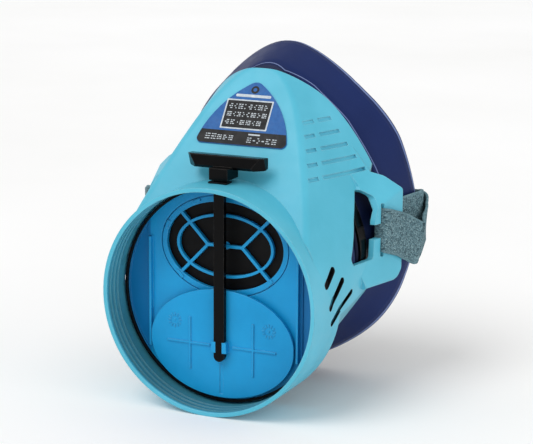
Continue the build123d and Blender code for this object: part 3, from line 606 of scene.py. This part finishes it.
# ---- head strap -------------------------------------------------------------------------------
def rounded_route(points, radius):
    """Route with each corner replaced by a short smooth bend; every number of a point is blended."""
    route = [points[0]]
    for before, corner, after in zip(points, points[1:], points[2:]):
        arms = []
        for other in (before, after):
            length = hypot(other[0] - corner[0], other[1] - corner[1], other[2] - corner[2])
            f = min(radius / length, 0.48)
            arms.append(tuple(c + (o - c) * f for c, o in zip(corner, other)))
        for k in range(9):
            t = k / 8
            route.append(tuple((1 - t) ** 2 * a + 2 * t * (1 - t) * c + t * t * b
                               for a, c, b in zip(arms[0], corner, arms[1])))
    return route + [points[-1]]


def ribbon(points):
    """Webbing along (x, y, z, lean x, lean y) points: its width stands along (lean x, lean y, 1)."""
    route = rounded_route(points, WEB_BEND)
    dense = [route[0]]
    for a, b in zip(route, route[1:]):
        steps = max(1, int(hypot(b[0] - a[0], b[1] - a[1], b[2] - a[2]) / WEB_STEP))
        dense += [tuple(p + (q - p) * k / steps for p, q in zip(a, b)) for k in range(1, steps + 1)]
    centres = [Vector(p[:3]) for p in dense]
    last = len(centres) - 1
    section = WEB_PROFILE + [(v, -h) for v, h in WEB_PROFILE[-2:0:-1]]
    verts, uvs = [], []
    run = 0.0
    for k, (centre, data) in enumerate(zip(centres, dense)):
        if k:
            run += (centre - centres[k - 1]).length
        tangent = (centres[min(k + 1, last)] - centres[max(k - 1, 0)]).normalized()
        across = Vector((data[3], data[4], 1.0))
        across = (across - tangent * across.dot(tangent)).normalized()
        normal = across.cross(tangent).normalized()
        for v, h in section:
            verts.append(centre + across * (v * WEB_WIDTH) + normal * (h * WEB_T))
            uvs.append((run, v * WEB_WIDTH))
    n = len(section)
    faces = tube_faces([(k, k + 1) for k in range(last)], n)
    faces.append(tuple(reversed(range(n))))
    faces.append(tuple(range(last * n, (last + 1) * n)))
    return verts, uvs, faces


def strap_route():
    """The whole webbing, from the tail behind the right slider round to the tail behind the left one."""
    right = [(23.0, LAYER_IN_Y, WEB_Z), (51.6, LAYER_IN_Y, WEB_Z), (54.2, 90.6, 24.4), (55.7, 87.0, 25.0),
             (53.5, 77.0, 24.8), (51.2, 67.0, 24.4), (47.9, SLOT_Y, WEB_Z)]
    twisted = [(52.8, SLOT_Y, WEB_Z, 0.0, 0.05), (55.6, 64.0, 19.8, 0.05, 0.2),
               (58.8, 76.8, 13.4, 0.15, 0.27), (57.4, 83.6, 15.4, 0.08, 0.12), (56.6, 88.8, 19.6, 0.04, 0.03)]
    folds = [(54.6, 92.9, 22.6), (52.2, LAYER_OUT_Y, WEB_Z), (41.5, LAYER_OUT_Y, WEB_Z),
             (-15.0, LAYER_OUT_Y, WEB_Z), (-15.0, 97.3, WEB_Z), (15.0, 97.3, WEB_Z), (15.0, 100.1, WEB_Z),
             (-18.0, 100.1, WEB_Z), (-22.0, LAYER_OUT_Y, WEB_Z)]
    left = [(-41.5, LAYER_OUT_Y, WEB_Z), (-52.4, LAYER_OUT_Y, WEB_Z), (-55.8, 93.5, 22.0),
            (-59.6, 89.4, 20.0), (-62.5, 78.0, 18.2), (-61.0, 66.0, 19.2), (-52.8, SLOT_Y, WEB_Z),
            (-47.9, SLOT_Y, WEB_Z), (-51.6, 67.0, 23.8), (-55.0, 77.0, 24.0), (-57.6, 87.0, 23.8),
            (-55.2, 91.0, 23.5), (-52.8, LAYER_IN_Y, WEB_Z), (-23.0, LAYER_IN_Y, WEB_Z)]
    upright = (0.0, 0.0)
    return [p + upright for p in right] + twisted + [p + upright for p in folds + left]


def strap_piece():
    """Head strap, one ribbon over the whole route."""
    verts, uvs, faces = ribbon(strap_route())
    piece = mesh_piece("head_strap_webbing", verts, faces, LOOKS["strap_webbing"], uvs=uvs)
    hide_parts("head_strap")


# ---- label print ------------------------------------------------------------------------------
def circle_through(a, b, c):
    """Centre and radius of the circle through three points."""
    d = 2 * (a[0] * (b[1] - c[1]) + b[0] * (c[1] - a[1]) + c[0] * (a[1] - b[1]))
    sq = [p[0] ** 2 + p[1] ** 2 for p in (a, b, c)]
    x = (sq[0] * (b[1] - c[1]) + sq[1] * (c[1] - a[1]) + sq[2] * (a[1] - b[1])) / d
    y = (sq[0] * (c[0] - b[0]) + sq[1] * (a[0] - c[0]) + sq[2] * (b[0] - a[0])) / d
    return x, y, hypot(a[0] - x, a[1] - y)


def label_half_width(t):
    """Half-width of the label at a distance t up its face from the base."""
    x, y, r = circle_through((LABEL_HALF, 0.0), LABEL_SHOULDER, (0.0, LABEL_TOP))
    return x + (r * r - (t - y) ** 2) ** 0.5


def label_point(s, t, lift):
    """Point on the label's face: s to the right, t up the slope, lift off the film."""
    norm = hypot(1.0, FRONT_SLOPE)
    up = (0.0, FRONT_SLOPE / norm, 1.0 / norm)
    out = (0.0, -1.0 / norm, FRONT_SLOPE / norm)
    base_y = FRONT_Y + FRONT_SLOPE * (LABEL_BASE_Z - FRONT_Z)
    height = LABEL_T + lift
    return (s, base_y + up[1] * t + out[1] * height, LABEL_BASE_Z + up[2] * t + out[2] * height)


def print_patch(name, outline, look, lift=0.0):
    """Thin printed patch with a closed (s, t) outline, standing just proud of the film."""
    n = len(outline)
    heights = lift + PRINT_DEPTH, lift - PRINT_SUNK
    points = [label_point(s, t, height) for height in heights for s, t in outline]
    faces = [tuple(range(n)), tuple(reversed(range(n, 2 * n)))]
    faces += [(k, n + k, n + (k + 1) % n, (k + 1) % n) for k in range(n)]
    mesh_piece(name, points, faces, look, smooth=False)


def rounded_box(s0, s1, t0, t1, radius):
    """Outline of a rectangle with rounded corners, anticlockwise."""
    outline = []
    for cs, ct, start in ((s1 - radius, t1 - radius, 0.0), (s0 + radius, t1 - radius, 0.5),
                          (s0 + radius, t0 + radius, 1.0), (s1 - radius, t0 + radius, 1.5)):
        for k in range(6):
            angle = pi * (start + 0.1 * k)
            outline.append((cs + radius * cos(angle), ct + radius * sin(angle)))
    return outline


def print_mark(name, s, t, length, tall, kind):
    """Plain block mark that stands for a printed character: three rows of loose dashes, and no letter."""
    low = t - tall / 2
    if tall < 1.0:
        print_patch(name, rounded_box(s, s + length, low, low + tall, 0.12), WHITE_INK, lift=MARK_LIFT)
        return
    for row in range(3):
        base = low + (tall - DASH_T) * row / 2
        cut = s + length * (0.3 + 0.13 * ((row * 2 + kind) % 4))
        for place, (start, end) in enumerate(((s, cut - DASH_GAP / 2), (cut + DASH_GAP / 2, s + length))):
            if end - start > DASH_T:
                dash = rounded_box(start, end, base, base + DASH_T, 0.1)
                print_patch(f"{name}_row_{row}_dash_{place}", dash, WHITE_INK, lift=MARK_LIFT)


def round_patch(name, t, radius, sides, look, lift=0.0):
    """Printed disc on the label's middle line."""
    turns = [2 * pi * k / sides for k in range(sides)]
    print_patch(name, [(radius * cos(a), t + radius * sin(a)) for a in turns], look, lift)


def label_band():
    """Dark band that follows the label's base and its two rounded corners."""
    side = [(label_half_width(t) - BAND_MARGIN, t)
            for t in (BAND_CORNER + k * (BAND_TOP - BAND_CORNER) / 6 for k in range(7))]
    base_s = side[0][0] - BAND_CORNER
    corner_t = BAND_MARGIN + BAND_CORNER
    turns = [pi * k / 12 for k in range(6)]
    right = [(base_s + BAND_CORNER * sin(a), corner_t - BAND_CORNER * cos(a)) for a in turns] + side
    print_patch("label_band", right + [(-s, t) for s, t in reversed(right)], BLACK_INK)


def label_print():
    """Generic print: a dark band, a framed dark panel, rows of block marks, a bar and a ring."""
    label_band()
    print_patch("label_panel_frame", rounded_box(-10.8, 9.4, 6.9, 20.0, 0.3), WHITE_INK)
    print_patch("label_panel", rounded_box(-10.2, 8.8, 7.5, 19.4, 0.2), BLACK_INK, lift=PANEL_LIFT)
    print_patch("label_bar", rounded_box(-7.6, 7.6, 21.2, 22.4, 0.5), WHITE_INK)
    round_patch("label_ring", RING_T, 1.7, 40, BLACK_INK)
    round_patch("label_dot", RING_T, 0.8, 24, LOOKS["label_film"], lift=PANEL_LIFT)
    for row, (t, tall, lengths) in enumerate(PANEL_ROWS, start=1):
        s = PANEL_LEFT
        for k, length in enumerate(lengths):
            print_mark(f"panel_row_{row}_{k}", s, t, length, tall, k)
            s += length + PANEL_SPACE
    for k, (s, length, t, tall) in enumerate(BAND_MARKS):
        print_mark(f"band_mark_{k}", s, t, length, tall, k)
    print_patch("band_note", rounded_box(2.4, 7.4, 4.6, 5.2, 0.2), WHITE_INK, lift=PANEL_LIFT)


# ---- studio -----------------------------------------------------------------------------------
def area_light(name, place, target, size, power):
    """Soft rectangular light aimed at a point."""
    data = bpy.data.lights.new(name, "AREA")
    data.shape = "RECTANGLE"
    data.size, data.size_y = size
    data.energy = power
    lamp = bpy.data.objects.new(name, data)
    bpy.context.scene.collection.objects.link(lamp)
    lamp.location = place
    lamp.rotation_euler = (Vector(target) - Vector(place)).to_track_quat("-Z", "Y").to_euler()


def soft_sun(name, place, strength, spread):
    """Even light from the direction of a point, softened over an angle in radians."""
    data = bpy.data.lights.new(name, "SUN")
    data.energy = strength
    data.angle = spread
    lamp = bpy.data.objects.new(name, data)
    bpy.context.scene.collection.objects.link(lamp)
    lamp.rotation_euler = Vector(place).to_track_quat("Z", "Y").to_euler()


def add_camera():
    """Camera at the viewing angle that the part was drawn from."""
    forward = Vector(CAMERA_FORWARD).normalized()
    right = forward.cross(Vector(CAMERA_UP)).normalized()
    upward = right.cross(forward)
    data = bpy.data.cameras.new("camera")
    data.sensor_width = 36.0
    data.lens = CAMERA_LENS
    data.clip_start = 0.01
    camera = bpy.data.objects.new("camera", data)
    bpy.context.scene.collection.objects.link(camera)
    axes = Matrix((right, upward, -forward)).transposed().to_4x4()
    camera.matrix_world = Matrix.Translation(Vector(CAMERA_PLACE)) @ axes
    bpy.context.scene.camera = camera


def add_floor():
    """Plain floor under the lowest point of the part."""
    low = CAD_BOX[0][2]
    corners = [(x * FLOOR_REACH, y * FLOOR_REACH, low) for x, y in ((-1, -1), (1, -1), (1, 1), (-1, 1))]
    mesh = bpy.data.meshes.new("floor")
    mesh.from_pydata(corners, [], [(0, 1, 2, 3)])
    mesh.materials.append(floor_material())
    floor = bpy.data.objects.new("floor", mesh)
    bpy.context.scene.collection.objects.link(floor)


def studio():
    """Camera, pale floor, white surroundings and soft lights."""
    scene = bpy.context.scene
    add_camera()
    add_floor()
    world = bpy.data.worlds.new("studio")
    world.use_nodes = True
    background = world.node_tree.nodes["Background"]
    background.inputs["Color"].default_value = WHITE
    background.inputs["Strength"].default_value = 0.73
    scene.world = world
    scene.view_settings.view_transform = "Standard"
    soft_sun("key", (-0.35, -0.75, 1.1), 1.15, 0.6)
    area_light("fill", (0.95, -0.15, 0.2), (0.0, 0.04, 0.02), (0.5, 0.3), 1.2)


studio()
paint_cad()
seal_piece()
strap_piece()
label_print()
